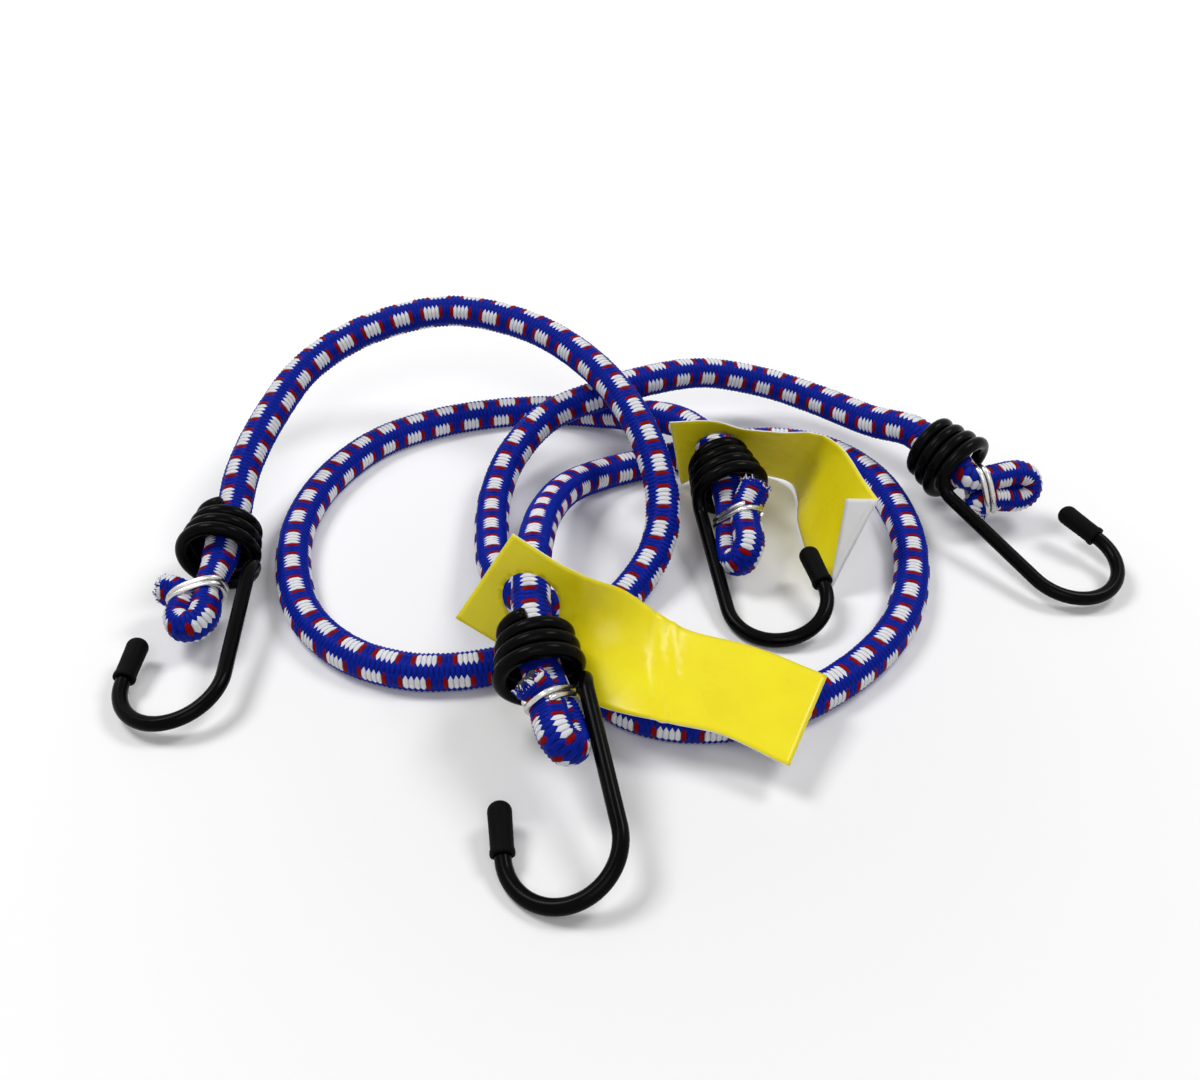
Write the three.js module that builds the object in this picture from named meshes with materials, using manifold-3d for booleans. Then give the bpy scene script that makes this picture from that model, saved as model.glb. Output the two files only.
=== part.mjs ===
import * as THREE from "three";
import { mergeVertices } from "three/addons/utils/BufferGeometryUtils.js";
import Module from "manifold-3d";

// A pair of stretch cords with wire hooks, lying interlaced on the floor.
// Lengths in millimetres, angles in degrees, Z up, the floor at height zero.

// Cord: a woven sheath over a rubber core
const CORD_DIAMETER = 8;
const SHEATH_WALL = 1.2;
const CORE_CLEARANCE = 0.3;
const CORD_SIDES = 10;
const FLAT_DEPTH = CORD_DIAMETER / 10;
const LIE = CORD_DIAMETER / 2 - FLAT_DEPTH;

// Hook: one wire, wound to a flared coil and bent to a hook
const WIRE_DIAMETER = 3.1;
const WIRE_SIDES = 8;
const COIL_TURNS = 3.75;
const COIL_STEPS = 14;
const COIL_GAP = 0.42;
const COIL_CLEARANCE = 0.3;
const COIL_FLARE = 2.25;
const ELBOW_ANGLE = 30;
const ELBOW_RISE = 4.5;
const ELBOW_OUT = 0.3;
const ELBOW_ARM = 2.4;
const ELBOW_STEPS = 4;
const SHANK_LENGTH = 27;
const SHANK_STEPS = 3;
const SHANK_FLARE = 3.6;
const BEND_RADIUS = 10.8;
const BEND_SWEEP = 186;
const BEND_STEPS = 12;
const TIP_LENGTH = 9.2;

// Tip cap: a soft sleeve over the end of the wire
const CAP_WALL = 0.6;
const CAP_CLEARANCE = 0.3;
const CAP_DEPTH = 8.7;
const CAP_END = 1.1;
const CAP_LIP = 0.3;
const CAP_LIP_LENGTH = 0.8;
const CAP_SIDES = 16;
const CAP_DOME_STEPS = 4;

// End clip: a wire wound round the two strands of the folded cord end
const CLIP_WIRE = 1.4;
const CLIP_SIDES = 6;
const CLIP_TURNS = 2;
const CLIP_CLEARANCE = 0.45;
const CLIP_GAP = 0.45;
const CLIP_ARC_STEPS = 6;

// Points looked at between two rings when a wire's gap to itself is measured
const GAP_SAMPLES = 4;

// Folded cord end and the straight run through the coil, along the coil's axis from its mouth
const FOLD_STEPS = 6;
const COIL_INSIDE = -8;
const COIL_OUTSIDE = -16;

// Tag: a thin strip with a hole for the cord
const TAG_LENGTH = 70;
const TAG_WIDTH = 23;
const TAG_THICKNESS = 0.4;
const TAG_HOLE = 11;
const TAG_HOLE_FROM_END = 10.5;
const TAG_HOLE_ABOVE_MIDDLE = 1;
const TAG_STEPS = 36;
const TAG_ROWS = 3;
const TAG_HOLE_SIDES = 20;
const TAG_PUNCH = 8;
const TAG_NEAR = 0.1;

// The origin stands in the middle below hooks, caps, clips and tags
const ORIGIN_X = 9.2;
const ORIGIN_Y = -39.1;

const wasm = await Module();
wasm.setup();

const RADIANS = Math.PI / 180;
const COIL_PITCH = WIRE_DIAMETER + COIL_GAP;
const COIL_LENGTH = COIL_TURNS * COIL_PITCH;
const COIL_NARROW = CORD_DIAMETER / 2 + COIL_CLEARANCE + WIRE_DIAMETER / 2;
const COIL_WIDE = COIL_NARROW + COIL_FLARE;
const CORE_DIAMETER = CORD_DIAMETER - 2 * (SHEATH_WALL + CORE_CLEARANCE);

// Where each hook lies: mouth of the coil, then heading, pitch and roll of the coil's axis.
// The folded cord end stands on foldStart, turned by foldTurn away from the shank.
// main and tail are its two strands, reach is where the fold begins, clip is the clip's middle.
// lead joins the main strand to the coil, end carries the tail to its cut face.
const HOOKS = {
  left: {
    mouth: [-83.7, -19.8, 9.8], heading: -92.1, pitch: -8, roll: 9,
    foldStart: [0, 0, 0], foldTurn: 0, main: [0.8, 0.4], tail: [-8, 0], reach: 13, clip: 8,
    lead: [[0.3, 0.2, -1]], end: [[-8.2, 0, 2.6]],
  },
  front: {
    mouth: [-11, -62.2, 14.8], heading: -80.9, pitch: -15.4, roll: 19.7,
    foldStart: [0, 0, 0], foldTurn: 0, main: [0, -0.4], tail: [-0.8, 8.4], reach: 12, clip: 7.2,
    lead: [[0, -0.2, -1]], end: [[-0.8, 8.6, 2.6]],
  },
  middle: {
    mouth: [30.7, 4.5, 10.2], heading: -77.4, pitch: -10.6, roll: 190.2,
    foldStart: [0, 0, 0], foldTurn: 0, main: [0.8, 0.6], tail: [-6.4, -4.4], reach: 14, clip: 7.6,
    lead: [[0.2, 0.1, -1.5]], end: [[-6.8, -4.6, 2.6]],
  },
  right: {
    mouth: [85.6, 10.7, 11.9], heading: -52.9, pitch: -11.9, roll: 183.8,
    foldStart: [3, 0, 6.5], foldTurn: 64, main: [-2.8, -3.5], tail: [2.8, 3.5], reach: 8.6, clip: 4.5,
    lead: [[1.3, -3.5, 4.2], [0.2, -0.8, -2.5]], end: [[4.9, 3.9, 8.9]],
  },
};

// Routes between the coils, from the first hook's coil to the second hook's coil
const ROUTE_A = [
  [-82.9, 6.6, 15.2], [-79.2, 22.3, 20], [-72.3, 40, 24], [-58.7, 52.1, 27.5], [-38.7, 58, 29.5],
  [-17.8, 51.3, 28.5], [-2, 36.5, 26], [8.1, 19.6, 22], [13.2, 5.2, 16.5], [14.3, -4.8, 11],
  [12.3, -13.2, 7], [6.1, -23.4, 3.8], [-2.1, -33.2, LIE], [-12.4, -41.5, LIE], [-22.5, -45.9, LIE],
  [-30.5, -47.4, LIE], [-39.7, -47.1, LIE], [-51.6, -42.4, LIE], [-62.6, -31.3, LIE],
  [-68.6, -15.9, LIE], [-70.5, 1.8, LIE], [-66.6, 20, LIE], [-56.6, 36.4, LIE], [-42.1, 45.9, LIE],
  [-25.3, 50.8, LIE], [-10.7, 51.8, LIE], [0, 49, 4.2], [8.3, 41.9, 8], [14.2, 35, 12],
  [20.8, 28.8, 13.8],
];
const ROUTE_B = [
  [67.8, 32.4, 12.4], [56.2, 45.3, 10.6], [43.5, 52.2, 11.5], [27.5, 52.2, 14.5], [12.8, 44.8, 16.8],
  [0, 38.5, 16.2], [-13, 33.3, 13], [-21.2, 23.1, 9], [-24.9, 9.8, 6], [-24.6, -7.5, 6.5],
  [-21.8, -23.6, 9.3], [-15.5, -33.5, 11.2], [-9, -39.5, 11.8], [-2.5, -48.5, 7.5], [2.5, -56, 3.8],
  [11.7, -60.7, LIE], [25.3, -61.2, LIE], [39.6, -56.1, LIE], [53.6, -45.6, LIE], [63.9, -32.5, LIE],
  [69.8, -15.9, LIE], [71.3, 2.5, LIE], [66.8, 21.3, LIE], [56.1, 33.2, LIE], [41.1, 36.4, LIE],
  [25.4, 31.8, LIE], [11.3, 26.9, LIE], [0, 20.3, 4.4], [-7.6, 9.8, 8], [-12, -4.9, 12.5],
  [-13.6, -22.8, 18.2], [-13.9, -35.5, 20.4],
];

// Tags: stations along the middle line, each with its place and the direction across
const FRONT_TAG = [
  [[-22.9, -42.2, 24.2], [0.53, 0.12, 0.84]],
  [[-14.4, -44.3, 19], [0.53, 0.1, 0.84]],
  [[-6.8, -46.6, 15.6], [0.54, 0.2, 0.8]],
  [[4, -52, 12.7], [0.42, 0.8, 0.43]],
  [[14.8, -55.7, 10.6], [0.28, 0.95, 0.13]],
  [[26.8, -58.6, 9.4], [0.35, 0.93, 0.1]],
  [[38.4, -65.2, 8.7], [0.42, 0.9, 0.12]],
];
const BACK_TAG = [
  [[17.4, 17.7, 12.2], [-0.17, -0.25, 0.96]],
  [[27.1, 20, 12.2], [0, -0.38, 0.92]],
  [[34, 20.8, 12.2], [0, -0.38, 0.92]],
  [[42, 18.8, 12], [0, -0.38, 0.92]],
  [[47.8, 16, 11.8], [0.1, -0.4, 0.91]],
  [[50.4, 11.5, 11.4], [0.25, -0.3, 0.92]],
  [[51.9, 4.5, 11], [0.4, -0.12, 0.91]],
  [[53.2, -4, 10.7], [0.43, 0.02, 0.9]],
  [[54.6, -12.5, 10.2], [0.4, 0.25, 0.87]],
  [[55.1, -19, 9.4], [0.38, 0.5, 0.77]],
];

// A smooth curve that sets one ring of a tube on each of its points
class RingCurve extends THREE.CatmullRomCurve3 {
  getUtoTmapping(u) {
    return u;
  }
}

function vector(list) {
  return new THREE.Vector3(list[0], list[1], list[2]);
}

function polygon(radius, sides) {
  const points = [];
  for (let i = 0; i < sides; i += 1) {
    const angle = (2 * Math.PI * i) / sides;
    points.push(new THREE.Vector2(radius * Math.cos(angle), radius * Math.sin(angle)));
  }
  return points;
}

function tube(points, radius, sides, bore = 0) {
  const section = new THREE.Shape(polygon(radius, sides));
  if (bore > 0) {
    section.holes.push(new THREE.Path(polygon(bore, sides)));
  }
  return new THREE.ExtrudeGeometry(section, {
    steps: points.length - 1,
    extrudePath: new RingCurve(points),
  });
}

function solidOf(geometry) {
  const bare = new THREE.BufferGeometry();
  bare.setAttribute("position", geometry.getAttribute("position").clone());
  if (geometry.index) {
    bare.setIndex(geometry.index.clone());
  }
  const merged = mergeVertices(bare);
  const vertProperties = new Float32Array(merged.getAttribute("position").array);
  const triVerts = new Uint32Array(merged.index.array);
  return new wasm.Manifold(new wasm.Mesh({ numProp: 3, vertProperties, triVerts }));
}

function geometryOf(solid) {
  const mesh = solid.getMesh();
  const geometry = new THREE.BufferGeometry();
  geometry.setAttribute("position", new THREE.BufferAttribute(new Float32Array(mesh.vertProperties), 3));
  geometry.setIndex(new THREE.BufferAttribute(new Uint32Array(mesh.triVerts), 1));
  const flat = geometry.toNonIndexed();
  flat.computeVertexNormals();
  return flat;
}

// Least gap of a wound wire to itself, measured on points along its middle line
function printGap(name, points, diameter, turnLength) {
  const line = new RingCurve(points).getPoints(points.length * GAP_SAMPLES);
  const along = [0];
  for (let i = 1; i < line.length; i += 1) {
    along.push(along[i - 1] + line[i].distanceTo(line[i - 1]));
  }
  let least = Infinity;
  for (let i = 0; i < line.length; i += 1) {
    for (let j = i + 1; j < line.length; j += 1) {
      if (along[j] - along[i] > turnLength / 2) {
        least = Math.min(least, line[i].distanceTo(line[j]) - diameter);
      }
    }
  }
  console.log(name + " least gap to itself " + least.toFixed(2) + " mm");
}

// Middle line of the hook's wire: coil, elbow, shank, bend and tip.
// The coil's axis is Z, the coil's mouth is at zero and the shank stands on the X side.
function hookLine() {
  const points = [];
  const coilSweep = COIL_TURNS * 360 - ELBOW_ANGLE;
  const coilCount = Math.round((coilSweep / 360) * COIL_STEPS);
  for (let i = 0; i <= coilCount; i += 1) {
    const part = (i / coilCount) * (coilSweep / (COIL_TURNS * 360));
    const angle = (part - 1) * COIL_TURNS * 360 * RADIANS;
    const radius = COIL_NARROW + COIL_FLARE * part;
    points.push(new THREE.Vector3(
      radius * Math.cos(angle), radius * Math.sin(angle), (part - 1) * COIL_LENGTH));
  }
  const flare = SHANK_FLARE * RADIANS;
  const ahead = new THREE.Vector3(Math.sin(flare), 0, Math.cos(flare));
  const inward = new THREE.Vector3(-Math.cos(flare), 0, Math.sin(flare));
  const coilEnd = points[points.length - 1];
  const leave = -ELBOW_ANGLE * RADIANS;
  const coilAhead = new THREE.Vector3(-Math.sin(leave), Math.cos(leave), 0);
  const shankStart = new THREE.Vector3(COIL_WIDE + ELBOW_OUT, 0, ELBOW_RISE);
  const elbow = new THREE.CubicBezierCurve3(
    coilEnd,
    coilEnd.clone().addScaledVector(coilAhead, ELBOW_ARM),
    shankStart.clone().addScaledVector(ahead, -ELBOW_ARM),
    shankStart);
  for (let i = 1; i <= ELBOW_STEPS; i += 1) {
    points.push(elbow.getPoint(i / ELBOW_STEPS));
  }
  for (let i = 1; i <= SHANK_STEPS; i += 1) {
    points.push(shankStart.clone().addScaledVector(ahead, (SHANK_LENGTH * i) / SHANK_STEPS));
  }
  const bendCentre = points[points.length - 1].clone().addScaledVector(inward, BEND_RADIUS);
  for (let i = 1; i <= BEND_STEPS; i += 1) {
    const turn = (BEND_SWEEP * RADIANS * i) / BEND_STEPS;
    points.push(bendCentre.clone()
      .addScaledVector(inward, -BEND_RADIUS * Math.cos(turn))
      .addScaledVector(ahead, BEND_RADIUS * Math.sin(turn)));
  }
  const last = BEND_SWEEP * RADIANS;
  const tipAhead = ahead.clone().multiplyScalar(Math.cos(last)).addScaledVector(inward, Math.sin(last));
  const tipStart = points[points.length - 1];
  points.push(tipStart.clone().addScaledVector(tipAhead, TIP_LENGTH / 2));
  points.push(tipStart.clone().addScaledVector(tipAhead, TIP_LENGTH));
  return { points, tip: points[points.length - 1], tipAhead };
}

// Sleeve with a domed end; its axis is Y and the wire's end stands at zero
function capGeometry() {
  const bore = WIRE_DIAMETER / 2 + CAP_CLEARANCE;
  const outside = bore + CAP_WALL;
  const profile = [
    new THREE.Vector2(0, CAP_CLEARANCE),
    new THREE.Vector2(bore, CAP_CLEARANCE),
    new THREE.Vector2(bore, -CAP_DEPTH),
    new THREE.Vector2(outside + CAP_LIP, -CAP_DEPTH),
    new THREE.Vector2(outside + CAP_LIP, CAP_LIP_LENGTH - CAP_DEPTH),
    new THREE.Vector2(outside, CAP_LIP_LENGTH + CAP_LIP - CAP_DEPTH),
  ];
  for (let i = 0; i <= CAP_DOME_STEPS; i += 1) {
    const angle = (Math.PI / 2) * (i / CAP_DOME_STEPS);
    profile.push(new THREE.Vector2(
      i === CAP_DOME_STEPS ? 0 : outside * Math.cos(angle), CAP_CLEARANCE + CAP_END * Math.sin(angle)));
  }
  return new THREE.LatheGeometry(profile, CAP_SIDES);
}

// Wire wound round both strands: half a turn round each strand, again and again
function clipLine(main, tail, level) {
  const across = new THREE.Vector2(tail[0] - main[0], tail[1] - main[1]).normalize();
  const radius = CORD_DIAMETER / 2 + CLIP_CLEARANCE + CLIP_WIRE / 2;
  const pitch = CLIP_WIRE + CLIP_GAP;
  const perTurn = 2 * (CLIP_ARC_STEPS + 1);
  const start = Math.atan2(across.y, across.x) - Math.PI / 2;
  const points = [];
  for (let i = 0; i <= perTurn * CLIP_TURNS; i += 1) {
    const place = i % perTurn;
    const onTail = place <= CLIP_ARC_STEPS;
    const centre = onTail ? tail : main;
    const turn = onTail ? place / CLIP_ARC_STEPS : 1 + (place - CLIP_ARC_STEPS - 1) / CLIP_ARC_STEPS;
    const angle = start + Math.PI * turn;
    const rise = pitch * (i / perTurn - CLIP_TURNS / 2);
    points.push(new THREE.Vector3(
      centre[0] + radius * Math.cos(angle), centre[1] + radius * Math.sin(angle), level + rise));
  }
  return points;
}

// Turns and moves from the folded end's own frame to the hook's frame
function foldMatrix(hook) {
  const matrix = new THREE.Matrix4().makeRotationY(-hook.foldTurn * RADIANS);
  return matrix.setPosition(vector(hook.foldStart));
}

// Folded cord end from its cut face round the fold and through the coil
function foldLine(hook) {
  const [mainX, mainY] = hook.main;
  const [tailX, tailY] = hook.tail;
  const fold = [new THREE.Vector3(tailX, tailY, hook.clip)];
  const middle = new THREE.Vector3((mainX + tailX) / 2, (mainY + tailY) / 2, hook.reach);
  const arm = new THREE.Vector3((tailX - mainX) / 2, (tailY - mainY) / 2, 0);
  for (let i = 0; i <= FOLD_STEPS; i += 1) {
    const angle = (Math.PI * i) / FOLD_STEPS;
    const point = middle.clone().addScaledVector(arm, Math.cos(angle));
    point.z += arm.length() * Math.sin(angle);
    fold.push(point);
  }
  fold.push(new THREE.Vector3(mainX, mainY, hook.clip));
  const matrix = foldMatrix(hook);
  return [
    ...hook.end.map(vector),
    ...fold.map((point) => point.applyMatrix4(matrix)),
    ...hook.lead.map(vector),
    new THREE.Vector3(0, 0, COIL_INSIDE),
    new THREE.Vector3(0, 0, COIL_OUTSIDE),
  ];
}

// Turns and moves from a hook's own frame to the floor
function hookMatrix(hook) {
  const heading = hook.heading * RADIANS;
  const pitch = hook.pitch * RADIANS;
  const roll = hook.roll * RADIANS;
  const axis = new THREE.Vector3(
    Math.cos(heading) * Math.cos(pitch), Math.sin(heading) * Math.cos(pitch), Math.sin(pitch));
  const level = new THREE.Vector3(-Math.sin(heading), Math.cos(heading), 0);
  const upright = axis.clone().cross(level);
  const side = level.multiplyScalar(Math.cos(roll)).addScaledVector(upright, Math.sin(roll));
  const matrix = new THREE.Matrix4().makeBasis(side, axis.clone().cross(side), axis);
  return matrix.setPosition(vector(hook.mouth));
}

// Whole middle line of a cord, from one cut end to the other
function cordLine(first, route, second) {
  const start = foldLine(first).map((point) => point.applyMatrix4(hookMatrix(first)));
  const end = foldLine(second).map((point) => point.applyMatrix4(hookMatrix(second)));
  return [...start, ...route.map(vector), ...end.reverse()];
}

// The sheath is pressed flat where it lies on the floor
function sheathGeometry(line) {
  const bore = CORD_DIAMETER / 2 - SHEATH_WALL;
  const whole = solidOf(tube(line, CORD_DIAMETER / 2, CORD_SIDES, bore));
  const box = new THREE.Box3().setFromPoints(line).expandByScalar(CORD_DIAMETER);
  const size = box.getSize(new THREE.Vector3());
  const below = new THREE.BoxGeometry(size.x, size.y, CORD_DIAMETER);
  below.translate((box.min.x + box.max.x) / 2, (box.min.y + box.max.y) / 2, -CORD_DIAMETER / 2);
  return geometryOf(whole.subtract(solidOf(below)));
}

// Closed thin sheet with the same triangles on both faces, so that a twist leaves its wall whole.
// spotAt gives the place of a flat point on the upper (side 1) or lower (side -1) face.
function sheetGeometry(spotAt) {
  const flat = new THREE.PlaneGeometry(TAG_LENGTH, TAG_WIDTH, TAG_STEPS, TAG_ROWS);
  const spots = flat.getAttribute("position");
  const faces = flat.index.array;
  const lower = spots.count;
  const places = [];
  for (const side of [1, -1]) {
    for (let i = 0; i < spots.count; i += 1) {
      places.push(spotAt(spots.getX(i), spots.getY(i), side));
    }
  }
  const index = [];
  const edges = new Map();
  for (let i = 0; i < faces.length; i += 3) {
    const [a, b, c] = faces.slice(i, i + 3);
    index.push(a, b, c, c + lower, b + lower, a + lower);
    for (const [from, to] of [[a, b], [b, c], [c, a]]) {
      edges.set(from + " " + to, [from, to]);
    }
  }
  for (const [from, to] of edges.values()) {
    if (!edges.has(to + " " + from)) {
      index.push(to, from, from + lower, to, from + lower, to + lower);
    }
  }
  return new THREE.BufferGeometry().setFromPoints(places).setIndex(index);
}

// Strip laid along its stations, with a hole punched along the cord
function tagGeometry(stations, cordAxis) {
  const middle = new THREE.CatmullRomCurve3(stations.map((station) => vector(station[0])));
  const across = new THREE.CatmullRomCurve3(stations.map((station) => vector(station[1])));
  const whole = middle.getLength();
  const frameAt = (along) => {
    const u = Math.min(Math.max(along / whole, 0), 1);
    const ahead = middle.getTangentAt(u);
    const place = middle.getPointAt(u).addScaledVector(ahead, along - u * whole);
    const lean = across.getPoint(middle.getUtoTmapping(u)).normalize();
    return { place, lean };
  };
  const strip = sheetGeometry((x, y, side) => {
    const near = frameAt(x + TAG_LENGTH / 2 - TAG_NEAR);
    const far = frameAt(x + TAG_LENGTH / 2 + TAG_NEAR);
    const here = frameAt(x + TAG_LENGTH / 2);
    const along = far.place.addScaledVector(far.lean, y).sub(near.place.addScaledVector(near.lean, y));
    const face = along.cross(here.lean).normalize();
    return here.place.addScaledVector(here.lean, y).addScaledVector(face, (side * TAG_THICKNESS) / 2);
  });
  const punch = new THREE.CylinderGeometry(TAG_HOLE / 2, TAG_HOLE / 2, TAG_PUNCH, TAG_HOLE_SIDES);
  const hole = frameAt(TAG_HOLE_FROM_END);
  hole.place.addScaledVector(hole.lean, TAG_HOLE_ABOVE_MIDDLE);
  const turn = new THREE.Quaternion().setFromUnitVectors(new THREE.Vector3(0, 1, 0), cordAxis);
  punch.applyQuaternion(turn);
  punch.translate(hole.place.x, hole.place.y, hole.place.z);
  return geometryOf(solidOf(strip).subtract(solidOf(punch)));
}

const PAINT = {
  sheath: { color: 0x1f3fb4, roughness: 0.75, metalness: 0 },
  core: { color: 0x26221f, roughness: 0.9, metalness: 0 },
  wire: { color: 0x101113, roughness: 0.35, metalness: 0.1 },
  cap: { color: 0x17181a, roughness: 0.6, metalness: 0 },
  clip: { color: 0xc4c7ca, roughness: 0.28, metalness: 0.95 },
  tag: { color: 0xf2b418, roughness: 0.4, metalness: 0 },
};

function node(name, geometry, paint) {
  const mesh = new THREE.Mesh(geometry, new THREE.MeshStandardMaterial(paint));
  mesh.name = name;
  return mesh;
}

const layout = new THREE.Group();
layout.name = "stretch_cord_pair";

const CORDS = {
  cord_a: cordLine(HOOKS.left, ROUTE_A, HOOKS.middle),
  cord_b: cordLine(HOOKS.right, ROUTE_B, HOOKS.front),
};
const shifted = new THREE.Group();
shifted.position.set(-ORIGIN_X, -ORIGIN_Y, 0);
layout.add(shifted);
for (const [name, line] of Object.entries(CORDS)) {
  shifted.add(node(name + "_sheath", sheathGeometry(line), PAINT.sheath));
  shifted.add(node(name + "_core", tube(line, CORE_DIAMETER / 2, CORD_SIDES), PAINT.core));
}

const hookWire = hookLine();
printGap("hook coil", hookWire.points, WIRE_DIAMETER, 2 * Math.PI * COIL_NARROW);
for (const [name, hook] of Object.entries(HOOKS)) {
  const group = new THREE.Group();
  group.applyMatrix4(hookMatrix(hook));
  group.add(node(name + "_hook", tube(hookWire.points, WIRE_DIAMETER / 2, WIRE_SIDES), PAINT.wire));
  const cap = node(name + "_tip_cap", capGeometry(), PAINT.cap);
  cap.position.copy(hookWire.tip);
  cap.quaternion.setFromUnitVectors(new THREE.Vector3(0, 1, 0), hookWire.tipAhead);
  group.add(cap);
  const clip = clipLine(hook.main, hook.tail, hook.clip).map((point) => point.applyMatrix4(foldMatrix(hook)));
  printGap(name + " end clip", clip, CLIP_WIRE, 2 * Math.PI * CORD_DIAMETER);
  group.add(node(name + "_end_clip", tube(clip, CLIP_WIRE / 2, CLIP_SIDES), PAINT.clip));
  shifted.add(group);
}

function coilAxis(hook) {
  return new THREE.Vector3().setFromMatrixColumn(hookMatrix(hook), 2);
}
shifted.add(node("front_tag", tagGeometry(FRONT_TAG, coilAxis(HOOKS.front)), PAINT.tag));
shifted.add(node("back_tag", tagGeometry(BACK_TAG, coilAxis(HOOKS.middle)), PAINT.tag));

export default layout;
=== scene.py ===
import math

import bpy
import numpy as np
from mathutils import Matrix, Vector
from mathutils.geometry import delaunay_2d_cdt


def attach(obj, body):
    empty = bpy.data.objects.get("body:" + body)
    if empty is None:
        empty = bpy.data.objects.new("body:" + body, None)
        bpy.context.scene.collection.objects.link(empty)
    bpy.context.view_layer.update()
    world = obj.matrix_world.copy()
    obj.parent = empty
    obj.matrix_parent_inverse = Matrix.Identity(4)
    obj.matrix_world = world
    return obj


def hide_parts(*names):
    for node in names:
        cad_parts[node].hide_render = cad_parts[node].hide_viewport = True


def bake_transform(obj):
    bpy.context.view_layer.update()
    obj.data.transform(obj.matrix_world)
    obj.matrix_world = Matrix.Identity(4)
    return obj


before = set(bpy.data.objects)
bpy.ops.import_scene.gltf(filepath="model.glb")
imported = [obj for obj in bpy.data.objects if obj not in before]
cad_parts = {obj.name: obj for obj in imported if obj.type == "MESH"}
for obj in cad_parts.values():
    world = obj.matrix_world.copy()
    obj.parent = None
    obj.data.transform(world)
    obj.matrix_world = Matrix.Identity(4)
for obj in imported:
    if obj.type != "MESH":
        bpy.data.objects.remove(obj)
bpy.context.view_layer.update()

# A pair of stretch cords with wire hooks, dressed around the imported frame.
# Lengths in metres, angles in degrees, Z up, the floor at height zero.
rng = np.random.default_rng(7)

# The routes below are written as laid out on the floor; the frame's origin stands here in that layout
ORIGIN = np.array((0.0092, -0.0391, 0.0))

# Camera, as the photograph was taken
CAMERA_TARGET = (-0.0092, 0.0391, 0.0)
CAMERA_DISTANCE = 0.28882
CAMERA_ELEVATION = 38.3
CAMERA_LENS = 36.75
CAMERA_SENSOR = 36.0
CAMERA_NEAR = 0.01

# Cord: a braid of eight columns of short cross strands over a rubber core
CORD_DIAMETER = 0.008
CORD_RADIUS = CORD_DIAMETER / 2
STRAND_PITCH = 0.00104
FOLD_PITCH = 0.00080
STRAND_BULGE = 0.00032
STRAND_SWELL = (0.82, 1.12)
STRAND_TOOTH = 0.35
COLUMNS = 8
COLUMN_ANGLE = 2 * math.pi / COLUMNS
# Height of a cord's middle where it lies on the floor, and of its lowest strands
LIE = 0.0032
FLOOR_CLEARANCE = 0.00008

# Hook wire
WIRE_RADIUS = 0.00155
WIRE_SIDES = 20
COIL_TURNS = 3.75
COIL_PITCH = 0.00322
COIL_NARROW = 0.00585
COIL_FLARE = 0.00225
COIL_POINTS = 150
ELBOW_ANGLE = 30
ELBOW_RISE = 0.0045
ELBOW_OUT = 0.0003
ELBOW_ARM = 0.0024
ELBOW_POINTS = 14
SHANK_LENGTH = 0.027
SHANK_FLARE = 3.6
SHANK_POINTS = 20
BEND_RADIUS = 0.0108
BEND_SWEEP = 186
BEND_POINTS = 40
TIP_LENGTH = 0.0092
TIP_POINTS = 6
# A wire's rounded end: how far it stands out and how wide it stays, in radii
WIRE_END_OUT = 0.35
WIRE_END_WIDE = 0.72
# Any direction that no wire starts along
SPIN_REFERENCE = (0.31, 0.47, 0.83)

# Tip cap
CAP_DEPTH = 0.0087
CAP_END = 0.0014
CAP_RADIUS = 0.00214
CAP_BULB = 0.00012
CAP_LIP = 0.00018
CAP_SIDES = 40
CAP_BORE_SEEN = 0.0015
CAP_BORE_CLEARANCE = 0.00002
# Rings of the lip: share of its height, and distance from the cap's mouth
CAP_LIP_RINGS = ((0.6, -0.0001), (1.0, 0.0003), (0.8, 0.0008), (0.0, 0.0012))
CAP_BODY_FROM = 0.25
CAP_BODY_RINGS = 6
CAP_SHOULDER = 0.0006
CAP_DOME_FROM_TO = (12, 88)
CAP_DOME_RINGS = 8

# End clip: how many turns, how round its corners are, how much of the wire's radius stands outside
# the strands, and how far it rises in a turn, in wire radii
CLIP_WIRE_RADIUS = 0.00068
CLIP_SIDES = 16
CLIP_FROM_TO_TURNS = (0.1, 1.9)
CLIP_POINTS = 120
CLIP_CORNER = 0.72
CLIP_OUTSIDE = 0.6
CLIP_RISE = 2.3

# Places along a hook's coil axis, from the coil's mouth
COIL_BACK = COIL_TURNS * COIL_PITCH
SEAM = -0.006
COIL_INSIDE = -0.008
COIL_OUTSIDE = -0.016
# The free cord's middle point in the coil lies this much deeper than the folded end's last one
FREE_DEEPER = 0.003

# Tag
TAG_LENGTH = 0.070
TAG_WIDTH = 0.023
TAG_THICKNESS = 0.0003
TAG_HOLE_RADIUS = 0.0055
TAG_HOLE_FROM_END = 0.0105
TAG_HOLE_ABOVE_MIDDLE = 0.001
TAG_HOLE_POINTS = 48
TAG_GRID = 0.0011
# Where along each ray from its middle the hole's rim is looked for
RIM_FROM_TO = (0.002, 0.0095)
RIM_SAMPLES = 200
RIM_CLEAR = 0.08
RIM_KEEP = 0.985
CREASE_FADE = 0.002
CREASE_CLEAR = 0.0004
# Creases: place along the tag, slant, height, half width, and how far they run across
FRONT_CREASES = (
    (0.0385, -0.38, -0.00050, 0.0012, -TAG_WIDTH / 2, TAG_WIDTH / 2),
    (0.0428, -0.30, 0.00036, 0.0009, 0.0004, TAG_WIDTH / 2),
    (0.0192, -0.25, 0.00034, 0.0011, 0.0020, TAG_WIDTH / 2),
)
BACK_CREASES = ((0.0300, 0.20, 0.00030, 0.0016, -0.0040, TAG_WIDTH / 2),)
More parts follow.
